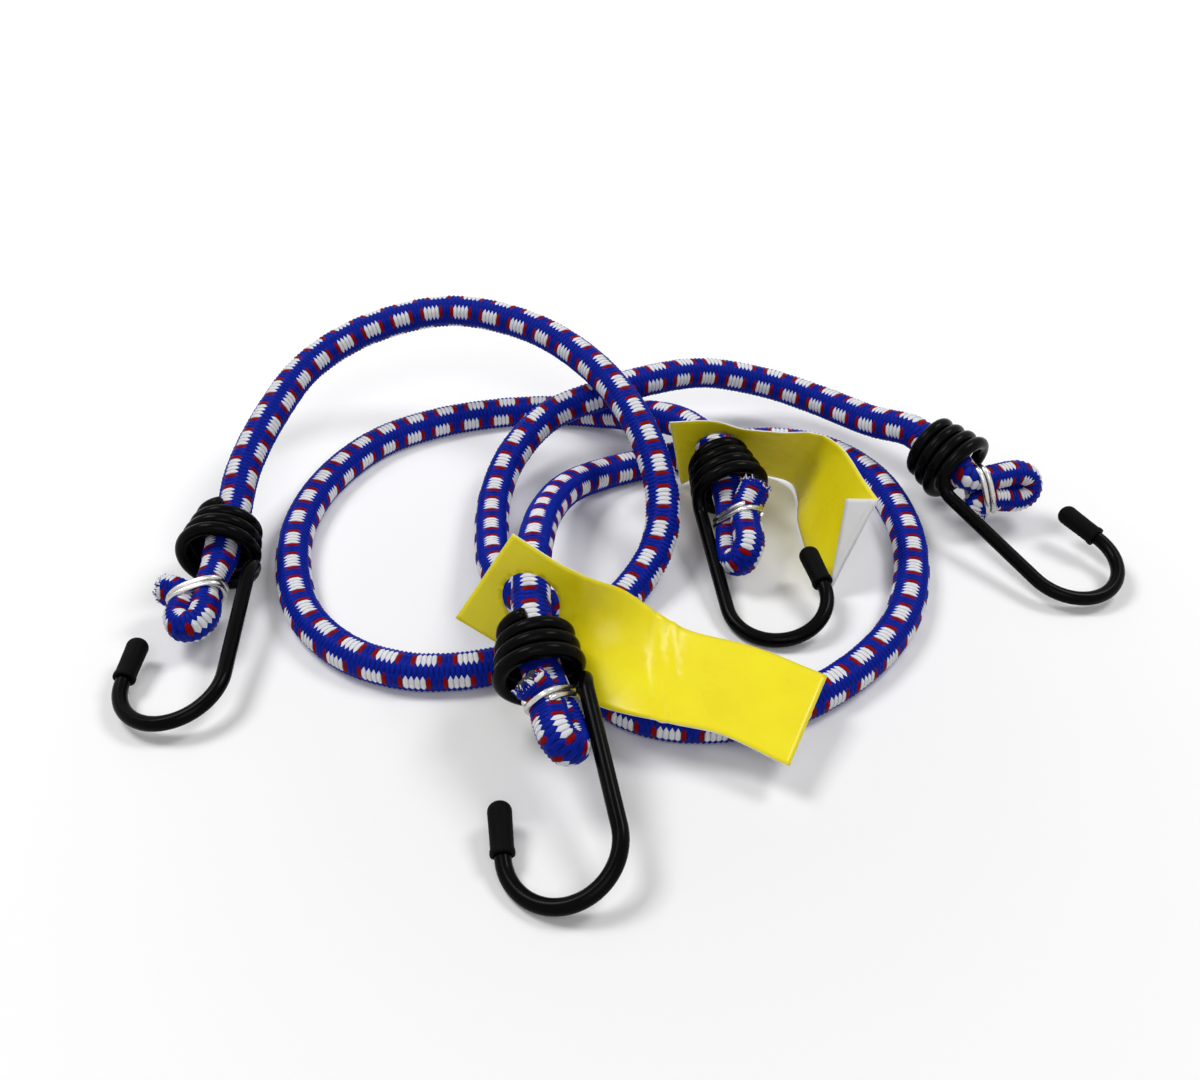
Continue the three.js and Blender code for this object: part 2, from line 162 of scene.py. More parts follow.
# Folded corner of the back tag: the line it is folded on, how far it turns, and the roundness of the bend
BACK_EAR = ((0.0617, TAG_WIDTH / 2), (TAG_LENGTH, -0.0098))
EAR_TURN = 168
EAR_ROUND = 0.0011
EAR_LIFT = 0.0003
EAR_POINTS = 22
EAR_BENDS = (-0.0006, 0.0, 0.0004, 0.0008, 0.0012)
EAR_CLEAR = 0.0003

# Hooks: coil mouth, then heading, pitch and roll of the coil's axis, and the folded cord end.
# The folded end stands on fold_start, turned by fold_turn away from the shank; main and tail are
# its two strands, reach is where the fold begins, clip is the clip's middle, lean and dip are its slants.
# lead joins the main strand to the coil, end carries the tail to its cut face, twist turns the braid.
HOOKS = {
    "left": dict(
        mouth=(-0.0837, -0.0198, 0.0098), heading=-92.1, pitch=-8, roll=9,
        fold_start=(0, 0, 0), fold_turn=-4, main=(0.0006, 0.0003), tail=(-0.0050, 0.0003),
        reach=0.0152, clip=0.0100, lean=0.30, dip=0.0,
        lead=((0.0008, 0.0002, -0.001),), end=((-0.0088, 0.0012, 0.0084),), twist=1.08,
        body="left_end", hook_body="left_hook_body", cord="cord_a",
    ),
    "front": dict(
        mouth=(-0.011, -0.0622, 0.0148), heading=-80.9, pitch=-15.4, roll=19.7,
        fold_start=(0, 0, 0), fold_turn=-11, main=(0.0016, -0.0008), tail=(-0.0002, 0.0044),
        reach=0.0126, clip=0.0054, lean=0.30, dip=0.0,
        lead=((0.0006, -0.0004, -0.001),), end=((-0.0006, 0.0060, 0.0026),), twist=0.62,
        body="cords", hook_body="front_hook_body", cord="cord_b",
    ),
    "middle": dict(
        mouth=(0.0307, 0.0045, 0.0102), heading=-77.4, pitch=-10.6, roll=190.2,
        fold_start=(0, 0, 0), fold_turn=-14, main=(0.0010, 0.0008), tail=(-0.0034, -0.0038),
        reach=0.0170, clip=0.0086, lean=0.16, dip=0.42,
        lead=((0.0004, 0.0003, -0.0015),), end=((-0.0050, -0.0050, 0.0038),), twist=0.62,
        body="cords", hook_body="middle_hook_body", cord="cord_a",
    ),
    "right": dict(
        mouth=(0.0856, 0.0107, 0.0119), heading=-52.9, pitch=-11.9, roll=183.8,
        fold_start=(0.0038, 0, 0.0048), fold_turn=66, main=(-0.00185, -0.0023), tail=(0.00185, 0.0023),
        reach=0.0124, clip=0.0034, lean=0.14, dip=0.0,
        lead=((0.0022, -0.0023, 0.0030), (0.0003, -0.0007, -0.0025)),
        end=((0.0030, 0.0040, 0.0080),), twist=1.08,
        body="right_end", hook_body="right_hook_body", cord="cord_b",
    ),
}

# Routes of the cords between the coils, each from the hook that is pulled to the other
ROUTE_A = (
    (-0.0829, 0.0066, 0.0152), (-0.0792, 0.0223, 0.0200), (-0.0723, 0.0400, 0.0240),
    (-0.0587, 0.0521, 0.0275), (-0.0387, 0.0580, 0.0295), (-0.0178, 0.0513, 0.0285),
    (-0.0020, 0.0365, 0.0260), (0.0081, 0.0196, 0.0220), (0.0132, 0.0052, 0.0165),
    (0.0143, -0.0048, 0.0110), (0.0123, -0.0132, 0.0070), (0.0061, -0.0234, 0.0038),
    (-0.0021, -0.0332, LIE), (-0.0124, -0.0415, LIE), (-0.0225, -0.0459, LIE),
    (-0.0305, -0.0474, LIE), (-0.0397, -0.0471, LIE), (-0.0516, -0.0424, LIE),
    (-0.0626, -0.0313, LIE), (-0.0686, -0.0159, LIE), (-0.0705, 0.0018, LIE),
    (-0.0666, 0.0200, LIE), (-0.0566, 0.0364, LIE), (-0.0421, 0.0459, LIE),
    (-0.0253, 0.0508, LIE), (-0.0107, 0.0518, LIE), (0.0, 0.0490, 0.0042),
    (0.0083, 0.0419, 0.0080), (0.0142, 0.0350, 0.0120), (0.0208, 0.0288, 0.0138),
)
ROUTE_B = (
    (0.0678, 0.0324, 0.0124), (0.0562, 0.0453, 0.0106), (0.0435, 0.0522, 0.0115),
    (0.0275, 0.0522, 0.0145), (0.0128, 0.0448, 0.0168), (0.0, 0.0385, 0.0162),
    (-0.0130, 0.0333, 0.0130), (-0.0212, 0.0231, 0.0090), (-0.0249, 0.0098, 0.0060),
    (-0.0246, -0.0075, 0.0065), (-0.0218, -0.0236, 0.0093), (-0.0155, -0.0335, 0.0112),
    (-0.0090, -0.0395, 0.0118), (-0.0025, -0.0485, 0.0075), (0.0025, -0.0560, 0.0038),
    (0.0117, -0.0607, LIE), (0.0253, -0.0612, LIE), (0.0396, -0.0561, LIE),
    (0.0536, -0.0456, LIE), (0.0639, -0.0325, LIE), (0.0698, -0.0159, LIE),
    (0.0713, 0.0025, LIE), (0.0668, 0.0213, LIE), (0.0561, 0.0332, LIE),
    (0.0411, 0.0364, LIE), (0.0254, 0.0318, LIE), (0.0113, 0.0269, LIE),
    (0.0, 0.0203, 0.0044), (-0.0076, 0.0098, 0.0080), (-0.0120, -0.0049, 0.0125),
    (-0.0136, -0.0228, 0.0182), (-0.0139, -0.0355, 0.0204),
)
# The route's point where a free stretch is cut into two pieces
SPLIT_A = 4
SPLIT_B = 3
# Turn of the braid's pattern: shares of the cord's length, and the angle at each
TWIST_A = ((0, 0.2, 0.35, 1), (-20, -25, 0, 5))
TWIST_B = ((0, 0.3, 1), (8, 0, 5))

# Tags: stations along the middle line, each with its place and the direction across
FRONT_TAG = (
    ((-0.0229, -0.0422, 0.0242), (0.53, 0.12, 0.84)),
    ((-0.0144, -0.0443, 0.0190), (0.53, 0.10, 0.84)),
    ((-0.0068, -0.0466, 0.0156), (0.54, 0.20, 0.80)),
    ((0.0040, -0.0520, 0.0127), (0.42, 0.80, 0.43)),
    ((0.0148, -0.0557, 0.0106), (0.28, 0.95, 0.13)),
    ((0.0268, -0.0586, 0.0094), (0.35, 0.93, 0.10)),
    ((0.0384, -0.0652, 0.0087), (0.42, 0.90, 0.12)),
)
BACK_TAG = (
    ((0.0182, 0.0184, 0.0119), (-0.17, -0.25, 0.96)),
    ((0.0271, 0.0207, 0.0122), (0, -0.40, 0.915)),
    ((0.0340, 0.0214, 0.0106), (0, -0.48, 0.877)),
    ((0.0424, 0.0200, 0.0106), (0.02, -0.48, 0.876)),
    ((0.0490, 0.0168, 0.0116), (0.12, -0.40, 0.91)),
    ((0.0516, 0.0118, 0.0112), (0.27, -0.32, 0.91)),
    ((0.0522, 0.0045, 0.0108), (0.42, -0.16, 0.89)),
    ((0.0533, -0.0040, 0.0105), (0.47, -0.06, 0.88)),
    ((0.0549, -0.0125, 0.0104), (0.52, 0.02, 0.85)),
    ((0.0561, -0.0190, 0.0102), (0.52, 0.07, 0.85)),
)

# How finely lines and strips are followed
LINE_SAMPLES = 60
LINE_STEP = 0.0004
PATH_STEP = 0.002
STRIP_SAMPLES = 400
# Two points closer than this count as the same point, and flat points closer than JOIN are joined
SAME = 1e-6
JOIN = 1e-7
# Texture coordinates that a mesh carries are in millimetres
MILLIMETRES = 1000


# Lines and meshes
def unit(v):
    v = np.asarray(v, float)
    return v / np.linalg.norm(v, axis=-1, keepdims=True)


def pick(s, knots, values):
    """Points at s, between values that stand at the knots."""
    return np.stack([np.interp(s, knots, values[:, k]) for k in range(3)], axis=-1)


def run_of(points):
    """Length along a row of points, at each of them."""
    return np.concatenate(((0,), np.cumsum(np.linalg.norm(np.diff(points, axis=0), axis=1))))


def catmull(points, places):
    """Points of the smooth curve through the given points, at places counted in segments."""
    p = np.asarray(points, float)
    p = np.vstack((2 * p[0] - p[1], p, 2 * p[-1] - p[-2]))
    i = np.clip(places.astype(int), 0, len(p) - 4)
    w = (places - i)[:, None]
    p0, p1, p2, p3 = p[i], p[i + 1], p[i + 2], p[i + 3]
    pairs = ((p0, p1), (p1, p2), (p2, p3))
    d0, d1, d2 = (np.sqrt(np.linalg.norm(b - a, axis=1))[:, None] for a, b in pairs)
    d1 = np.where(d1 < SAME, 1.0, d1)
    d0, d2 = (np.where(d < SAME, d1, d) for d in (d0, d2))
    t1 = ((p1 - p0) / d0 - (p2 - p0) / (d0 + d1) + (p2 - p1) / d1) * d1
    t2 = ((p2 - p1) / d1 - (p3 - p1) / (d1 + d2) + (p3 - p2) / d2) * d1
    return p1 + t1 * w + (3 * (p2 - p1) - 2 * t1 - t2) * w**2 + (2 * (p1 - p2) + t1 + t2) * w**3


class Line:
    """A smooth line with a frame at each of its points: ahead, first (nearest to reference) and second."""

    def __init__(self, points, reference):
        fine = catmull(points, np.linspace(0, len(points) - 1, LINE_SAMPLES * (len(points) - 1) + 1))
        along = run_of(fine)
        self.length = along[-1]
        self.s = np.linspace(0, self.length, int(self.length / LINE_STEP))
        self.place = pick(self.s, along, fine)
        self.ahead = unit(np.gradient(self.place, axis=0))
        reference = np.asarray(reference, float)
        self.first = unit(reference - (self.ahead @ reference)[:, None] * self.ahead)
        self.second = np.cross(self.ahead, self.first)

    def at(self, s, values):
        return pick(s, self.s, values)

    def point(self, s, angle, reach_first, reach_second):
        """Points on the skin round the line: angle is turned from first to second."""
        out = self.at(s, self.first) * (np.cos(angle) * reach_first)[..., None]
        out += self.at(s, self.second) * (np.sin(angle) * reach_second)[..., None]
        return self.at(s, self.place) + out

    def nearest(self, point):
        return self.s[np.argmin(np.linalg.norm(self.place - np.asarray(point), axis=1))]

    def path(self, s0, s1):
        return self.at(np.linspace(s0, s1, int(abs(s1 - s0) / PATH_STEP)), self.place)


def mesh_piece(name, vertices, faces, materials, material_index=None, uv=None):
    """A mesh object from lists; uv holds one pair for each vertex."""
    mesh = bpy.data.meshes.new(name)
    mesh.from_pydata(np.asarray(vertices).tolist(), [], [list(map(int, f)) for f in faces])
    for material in materials:
        mesh.materials.append(material)
    if material_index is not None:
        mesh.polygons.foreach_set("material_index", np.asarray(material_index, np.int32))
    mesh.polygons.foreach_set("use_smooth", np.full(len(mesh.polygons), True))
    if uv is not None:
        layer = mesh.uv_layers.new(name="lay")
        corner = np.empty(len(mesh.loops), np.int32)
        mesh.loops.foreach_get("vertex_index", corner)
        layer.data.foreach_set("uv", np.asarray(uv, np.float32)[corner].ravel())
    mesh.update()
    obj = bpy.data.objects.new(name, mesh)
    bpy.context.scene.collection.objects.link(obj)
    return obj


def round_turns(sides):
    """Angles of a closed ring's points, in radians."""
    return np.linspace(0, 2 * math.pi, sides, endpoint=False)


def tube_faces(rings, sides, start=0):
    """Faces between rings of points that follow each other, the first point at start."""
    faces = []
    for ring in range(rings - 1):
        for side in range(sides):
            a, b = (start + ring * sides + k % sides for k in (side, side + 1))
            faces.append((a, b, b + sides, a + sides))
    return faces


def dress(piece, body, replaced):
    """Sets a piece on a body of the frame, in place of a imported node."""
    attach(piece, body)
    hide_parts(replaced)


# Materials
CLOUD_DETAIL = 3.0
RAMP_FROM_TO = (0.3, 0.7)
# Yarn: its gloss, how its fibres run along and across a strand, their depth,
# and where the painted shade at a strand's edge begins and ends
YARN_GLOSS = 0.05
FIBRE_STRETCH = (0.7, 9.0, 1.0)
FIBRE_SCALE = 1.0
FIBRE_BUMP = dict(strength=0.55, depth=0.00012)
EDGE_PAINTED_SHADE_FROM_TO = (0.32, 0.52)
# The Mix node's sockets for colours
MIX_FIRST, MIX_SECOND, MIX_RESULT = 6, 7, 2


def material(name, **sockets):
    """A node material with constants set on the shader's own sockets."""
    made = bpy.data.materials.new(name)
    made.use_nodes = True
    shader = made.node_tree.nodes["Principled BSDF"]
    for socket, value in sockets.items():
        shader.inputs[socket.replace("_", " ")].default_value = value
    return made, made.node_tree, shader


def node(tree, kind, **inputs):
    made = tree.nodes.new(kind)
    for socket, value in inputs.items():
        made.inputs[socket.replace("_", " ")].default_value = value
    return made


def worked_out(tree, operation, *sources):
    """Result of a math node that takes other nodes' results."""
    made = tree.nodes.new("ShaderNodeMath")
    made.operation = operation
    for socket, source in zip(made.inputs, sources):
        tree.links.new(source, socket)
    return made.outputs[0]


def own_space(tree):
    return tree.nodes.new("ShaderNodeTexCoord").outputs["Object"]


def mesh_lay(tree):
    """The coordinates that a mesh carries, along and across its yarn or film."""
    source = tree.nodes.new("ShaderNodeUVMap")
    source.uv_map = "lay"
    return source.outputs["UV"]


def noise_of(tree, vector, scale, detail):
    made = node(tree, "ShaderNodeTexNoise", Scale=scale, Detail=detail)
    tree.links.new(vector, made.inputs["Vector"])
    return made.outputs["Fac"]


def ramp(tree, source, low, high, start=RAMP_FROM_TO[0], end=RAMP_FROM_TO[1]):
    """Colours or plain values from low to high, as the source goes from start to end."""
    made = tree.nodes.new("ShaderNodeValToRGB")
    for stop, position, value in zip(made.color_ramp.elements, (start, end), (low, high)):
        stop.position = position
        stop.color = (*value, 1) if np.ndim(value) else (value, value, value, 1)
    tree.links.new(source, made.inputs["Fac"])
    return made.outputs["Color"]


def bump(tree, shader, height, strength, depth):
    made = node(tree, "ShaderNodeBump", Strength=strength, Distance=depth)
    tree.links.new(height, made.inputs["Height"])
    tree.links.new(made.outputs["Normal"], shader.inputs["Normal"])


def yarn(name, colour, shade, roughness, edge_painted_shade):
    """Braid yarn: fine fibres along each strand, with painted shade darkening it towards its edges, where it
    meets the next strand.
    """
    made, tree, shader = material(name, Roughness=roughness, Specular_IOR_Level=YARN_GLOSS)
    stretch = node(tree, "ShaderNodeMapping", Scale=FIBRE_STRETCH)
    tree.links.new(mesh_lay(tree), stretch.inputs["Vector"])
    fibres = noise_of(tree, stretch.outputs["Vector"], FIBRE_SCALE, CLOUD_DETAIL)
    parts = tree.nodes.new("ShaderNodeSeparateXYZ")
    tree.links.new(mesh_lay(tree), parts.inputs["Vector"])
    off_middle = worked_out(tree, "ABSOLUTE", parts.outputs["Y"])
    both = tree.nodes.new("ShaderNodeMix")
    both.data_type = "RGBA"
    both.blend_type = "MULTIPLY"
    both.inputs["Factor"].default_value = 1.0
    tree.links.new(ramp(tree, fibres, shade, colour), both.inputs[MIX_FIRST])
    # Painted shade: each strand's colour is darkened towards its edges, where strands meet
    tree.links.new(ramp(tree, off_middle, 1.0, edge_painted_shade, *EDGE_PAINTED_SHADE_FROM_TO), both.inputs[MIX_SECOND])
    tree.links.new(both.outputs[MIX_RESULT], shader.inputs["Base Color"])
    bump(tree, shader, fibres, **FIBRE_BUMP)
    return made


def surface(
    name, shades, roughness, cloud, relief, relief_detail, strength, depth, space=own_space, **sockets
):
    """Material whose colour and roughness vary in clouds, with a fine relief; cloud and relief are scales."""
    made, tree, shader = material(name, **sockets)
    place = space(tree)
    clouds = noise_of(tree, place, cloud, CLOUD_DETAIL)
    tree.links.new(ramp(tree, clouds, *shades), shader.inputs["Base Color"])
    tree.links.new(ramp(tree, clouds, *roughness), shader.inputs["Roughness"])
    bump(tree, shader, noise_of(tree, place, relief, relief_detail), strength, depth)
    return made


def film(name, shades, roughness):
    """Film of a tag: gentle waves and a gloss that varies with handling."""
    return surface(
        name, shades, roughness, cloud=0.09, relief=0.22, relief_detail=2.0, strength=0.25, depth=0.0006,
        space=mesh_lay, Specular_IOR_Level=0.3,
    )


# Each yarn: colour, darker fibre tone, roughness, and how dark the painted shade at a strand's edges goes
YARNS = (
    yarn("yarn_blue", (0.005, 0.025, 0.47), (0.001, 0.007, 0.15), roughness=0.45, edge_painted_shade=0.32),
    yarn("yarn_white", (0.93, 0.93, 0.94), (0.66, 0.67, 0.73), roughness=0.6, edge_painted_shade=0.5),
    yarn("yarn_red", (0.32, 0.003, 0.010), (0.13, 0.002, 0.006), roughness=0.5, edge_painted_shade=0.35),
)
BLUE, WHITE, RED = range(3)
# One repeat along a patterned column of the braid, and its shift from one such column to the next
REPEAT = (RED, WHITE, WHITE, WHITE, WHITE, RED, BLUE, BLUE)
REPEAT_SHIFT = 2
COATING = surface(
    "wire_coating", ((0.0008, 0.0008, 0.0009), (0.0018, 0.0018, 0.0018)), roughness=(0.15, 0.24),
    cloud=130.0, relief=420.0, relief_detail=2.0, strength=0.14, depth=0.0002, Specular_IOR_Level=0.04,
)
CAP_RUBBER = surface(
    "cap_rubber", ((0.0016, 0.0016, 0.0017), (0.0034, 0.0034, 0.0035)), roughness=(0.52, 0.68),
    cloud=300.0, relief=2600.0, relief_detail=2.0, strength=0.2, depth=0.0001, Specular_IOR_Level=0.04,
)
CLIP_METAL = surface(
    "clip_metal", ((0.46, 0.45, 0.44), (0.58, 0.57, 0.55)), roughness=(0.20, 0.28),
    cloud=900.0, relief=900.0, relief_detail=3.0, strength=0.02, depth=0.0001, Metallic=1.0,
)
CORE_RUBBER = surface(
    "core_rubber", ((0.010, 0.010, 0.010), (0.045, 0.043, 0.040)), roughness=(0.85, 0.85),
    cloud=1500.0, relief=1500.0, relief_detail=3.0, strength=0.6, depth=0.0003,
)
FILM_FRONT = film("film_front", ((0.91, 0.75, 0.008), (0.95, 0.83, 0.011)), roughness=(0.24, 0.34))
FILM_BACK = film("film_back", ((0.82, 0.82, 0.81), (0.88, 0.88, 0.87)), roughness=(0.35, 0.5))


# Camera
def make_camera():
    data = bpy.data.cameras.new("camera")
    data.lens = CAMERA_LENS
    data.sensor_width = CAMERA_SENSOR
    data.sensor_fit = "HORIZONTAL"
    data.clip_start = CAMERA_NEAR
    camera = bpy.data.objects.new("camera", data)
    rise = math.radians(CAMERA_ELEVATION)
    away = Vector((0, -math.cos(rise), math.sin(rise))) * CAMERA_DISTANCE
    camera.location = Vector(CAMERA_TARGET) + away
    camera.rotation_euler = (-away).to_track_quat("-Z", "Y").to_euler()
    bpy.context.scene.collection.objects.link(camera)
    bpy.context.scene.camera = camera


make_camera()


# Cords
# One strand of the braid as a patch: around the cord, along it, and height above the braid's floor
SHOULDER = (1 - STRAND_TOOTH) / (1 + STRAND_TOOTH)
SHOULDER_HEIGHT = 0.86
PATCH_ROWS = ((-SHOULDER, SHOULDER_HEIGHT), (0, 1.0), (SHOULDER, SHOULDER_HEIGHT))
PATCH = np.array(
    [(-1, 0, 0)]
    + [(u, v, h) for u, top in PATCH_ROWS for v, h in ((-1, 0), (0, top), (1, 0))]
    + [(1, 0, 0)]
)
PATCH_FACES = (
    (0, 1, 2), (0, 2, 3), (1, 4, 5, 2), (2, 5, 6, 3), (4, 7, 8, 5), (5, 8, 9, 6), (7, 10, 8), (8, 10, 9),
)
STRAND_HALF = COLUMN_ANGLE * (1 + STRAND_TOOTH) / 2
# How far apart the strands' fibres are taken from the noise
FIBRE_SPREAD = 90


def braid_strands(s0, count, pitch, first_strand):
    """Angle, place along the line and colour of each strand, column by column."""
    rows = []
    index = np.arange(count)
    for column in range(COLUMNS):
        s = s0 + (index + 0.5 + 0.5 * (column % 2)) * pitch
        if column % 2:
            colour = np.full(count, BLUE)
        else:
            colour = np.array(REPEAT)[(index + first_strand + REPEAT_SHIFT * (column // 2)) % len(REPEAT)]
        rows.append(np.stack((np.full(count, column * COLUMN_ANGLE), s, colour), axis=1))
    return np.concatenate(rows)


def weave(name, line, s0, s1, twist, girth=None, first_strand=0, pitch=STRAND_PITCH):
    """Braided skin of a line from s0 to s1; twist and girth give the pattern's angle and half widths at s."""
    strand = braid_strands(s0, int((s1 - s0) / pitch), pitch, first_strand)
    s = strand[:, 1, None] + PATCH[None, :, 1] * pitch / 2
    angle = strand[:, 0, None] + PATCH[None, :, 0] * STRAND_HALF + twist(s)
    swell = rng.uniform(*STRAND_SWELL, (len(strand), 1))
    height = (PATCH[None, :, 2] * swell - 1) * STRAND_BULGE
    if girth is None:
        reach_first = reach_second = CORD_RADIUS + height
    else:
        reach_first, reach_second = (g + height for g in girth(s))
    place = line.point(s, angle, reach_first, reach_second).reshape(-1, 3)
    place[:, 2] = np.maximum(place[:, 2], FLOOR_CLEARANCE)
    base = (np.arange(len(strand)) * len(PATCH)).tolist()
    faces = [[b + i for i in face] for b in base for face in PATCH_FACES]
    colour = np.repeat(strand[:, 2].astype(int), len(PATCH_FACES))
    lay = PATCH[None, :, :2] * np.array((STRAND_HALF * CORD_RADIUS, STRAND_PITCH / 2)) * MILLIMETRES
    lay = np.repeat(lay, len(strand), axis=0)
    lay[:, :, 0] += rng.uniform(0, FIBRE_SPREAD, (len(strand), 1))
    return mesh_piece(name, place, faces, YARNS, colour, lay.reshape(-1, 2))


def hook_matrix(hook):
    """Rows side, across, axis and mouth of a hook, in the frame's own place."""
    heading, pitch, roll = (math.radians(hook[k]) for k in ("heading", "pitch", "roll"))
    axis = np.array(
        (math.cos(heading) * math.cos(pitch), math.sin(heading) * math.cos(pitch), math.sin(pitch))
    )
    level = np.array((-math.sin(heading), math.cos(heading), 0))
    side = level * math.cos(roll) + np.cross(axis, level) * math.sin(roll)
    return np.stack((side, np.cross(axis, side), axis, np.array(hook["mouth"]) - ORIGIN))


def coil_axis(hook):
    return hook_matrix(hook)[2]


def set_on(hook, points):
    """Points of a hook's own frame, set where the hook lies."""
    matrix = hook_matrix(hook)
    return np.atleast_2d(np.asarray(points, float)) @ matrix[:3] + matrix[3]


def fold_points(hook, points):
    """Points of a folded end's own frame, in the hook's frame."""
    turn = math.radians(-hook["fold_turn"])
    c, s = math.cos(turn), math.sin(turn)
    rotation = np.array(((c, 0, s), (0, 1, 0), (-s, 0, c)))
    return np.atleast_2d(np.asarray(points, float)) @ rotation.T + np.array(hook["fold_start"])


def cord_line(first, route, second):
    """Middle line of a cord's free stretch, from inside one coil to inside the other."""
    inside = ((0, 0, SEAM), (0, 0, COIL_INSIDE - FREE_DEEPER), (0, 0, COIL_OUTSIDE))
    points = [*set_on(first, inside), *(np.array(route) - ORIGIN), *set_on(second, inside[::-1])]
    return Line(points, (0, 0, 1))


def free_cord(name, first, route, second, split, twist):
    """The two pieces of a free stretch: the one from the first hook to the cut, and the rest."""
    line = cord_line(HOOKS[first], route, HOOKS[second])

    def turned(s):
        return np.radians(np.interp(s / line.length, *twist))

    strands = int(line.nearest(np.array(route[split]) - ORIGIN) / STRAND_PITCH)
    cut = strands * STRAND_PITCH
    pull = weave(name + "_pull", line, 0, cut, turned)
    run = weave(name + "_run", line, cut, line.length, turned, first_strand=strands)
    near, far = (set_on(HOOKS[k], (0, 0, -COIL_BACK))[0] for k in (first, second))
    for piece, leaves, s0, s1 in ((pull, near, 0, cut), (run, far, line.length, cut)):
        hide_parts(name + "_sheath", name + "_core")
        line.path(s0, s1)
    line.at(cut, line.place)
    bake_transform(pull)
    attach(run, "cords")


free_cord("cord_a", "left", ROUTE_A, "middle", SPLIT_A, TWIST_A)
free_cord("cord_b", "right", ROUTE_B, "front", SPLIT_B, TWIST_B)


# Folded cord ends, squeezed by their clips
FOLD_HALF_WIDTH = 0.0032
FOLD_HALF_DEPTH = 0.0038
FOLD_LOOP_POINTS = 9
# How much farther out than a half circle the loop reaches
FOLD_LOOP_REACH = 1.25
PINCH = 0.14
PINCH_LENGTH = 0.0016
# The clip draws the two strands together to this share of their distance
DRAWN = 0.82
# Towards the coil the fold turns round again, before this place on the coil's axis
FOLD_ROUND_AT = -0.001
FOLD_ROUND_LENGTH = 0.006
# The cut end is this much wider
END_SPREAD = 0.05
END_SPREAD_LENGTH = 0.0022
# Core at a cut end: threads round a middle one, their spread and thickness as shares of the core's radius
CORE_RADIUS = 0.0024
CORE_THREADS = 6
CORE_THREAD_SIDES = 10
CORE_SPREAD = (0.72, 0.55)
CORE_THREAD_WIDE = 0.36
CORE_THREAD_RISE = (-0.0003, 0.0004)
# Rings of a thread's rounded end: width and level
CORE_THREAD_RINGS = ((1.0, -0.002), (1.0, 0.0006), (0.8, 0.0009), (0.02, 0.0010))
# Torn yarn ends: how many, their shape, and the shares of blue, white and red
FRAY_COUNT = 84
FRAY_JITTER = (-0.5, 0.5)
FRAY_SIDES = 5
FRAY_RINGS = 4
FRAY_REACH = (0.0001, 0.0011)
FRAY_SWAY_OUT = (-0.0011, 0.0004)
FRAY_SWAY_ROUND = (-0.0007, 0.0007)
FRAY_THICK = (0.00020, 0.00032)
FRAY_TAPER = 0.55
FRAY_ROOT = 0.90
FRAY_SUNK = 0.0007
FRAY_COLOURS = (0.45, 0.45, 0.10)


def strand_at_clip(hook, side):
    """Where a strand passes the clip, in the fold's own frame: the tail for side 1, the main for -1."""
    main, tail = np.array(hook["main"]), np.array(hook["tail"])
    return (main + tail) / 2 + side * DRAWN * (tail - main) / 2


def fold_line(hook):
    """Middle line of a folded end, from its cut face to inside the coil."""
    main, tail = np.array(hook["main"]), np.array(hook["tail"])
    middle, arm = (main + tail) / 2, (tail - main) / 2
    bulge = FOLD_LOOP_REACH * np.linalg.norm(arm)
    turns = np.radians(np.linspace(0, 180, FOLD_LOOP_POINTS))
    loop = [(*(middle + arm * math.cos(t)), hook["reach"] + bulge * math.sin(t)) for t in turns]
    shape = [(*strand_at_clip(hook, 1), hook["clip"]), *loop, (*strand_at_clip(hook, -1), hook["clip"])]
    points = [*hook["end"], *fold_points(hook, shape), *hook["lead"], (0, 0, SEAM), (0, 0, COIL_INSIDE)]
    normal = fold_points(hook, ((-arm[1], arm[0], 0),)) - np.array(hook["fold_start"])
    plane = set_on(hook, normal)[0] - set_on(hook, (0, 0, 0))[0]
    return Line(set_on(hook, points), unit(plane))


def frayed_end(name, line):
    """Short torn yarn ends round the cut face of a cord, bent in over the core."""
    vertices, faces, colours, lay = [], [], [], []
    base, ahead = line.place[0], -line.ahead[0]
    first, second = line.first[0], line.second[0]
    for k in range(FRAY_COUNT):
        angle = 2 * math.pi * (k + rng.uniform(*FRAY_JITTER)) / FRAY_COUNT
        out = first * math.cos(angle) * FOLD_HALF_DEPTH + second * math.sin(angle) * FOLD_HALF_WIDTH
        outward = unit(out)
        around = np.cross(ahead, outward)
        reach = rng.uniform(*FRAY_REACH)
        sway = outward * rng.uniform(*FRAY_SWAY_OUT) + around * rng.uniform(*FRAY_SWAY_ROUND)
        thick = rng.uniform(*FRAY_THICK)
        start = len(vertices)
        for part in np.linspace(0, 1, FRAY_RINGS):
            middle = base + out * FRAY_ROOT - ahead * FRAY_SUNK * (1 - part)
            middle = middle + ahead * reach * part + sway * part**2
            wide = thick * (1 - FRAY_TAPER * part)
            for turn in round_turns(FRAY_SIDES):
                vertices.append(middle + wide * (math.cos(turn) * outward + math.sin(turn) * around))
                lay.append((k + part * reach * MILLIMETRES, math.sin(turn) * thick * MILLIMETRES))
        faces += tube_faces(FRAY_RINGS, FRAY_SIDES, start)
        last = start + (FRAY_RINGS - 1) * FRAY_SIDES
        faces += [tuple(range(last, last + FRAY_SIDES)), tuple(range(start, start + FRAY_SIDES))[::-1]]
        colour = rng.choice((BLUE, WHITE, RED), p=FRAY_COLOURS)
        colours += [colour] * ((FRAY_RINGS - 1) * FRAY_SIDES + 2)
    vertices = np.array(vertices)
    vertices[:, 2] = np.maximum(vertices[:, 2], FLOOR_CLEARANCE)
    return mesh_piece(name, vertices, faces, YARNS, colours, lay)


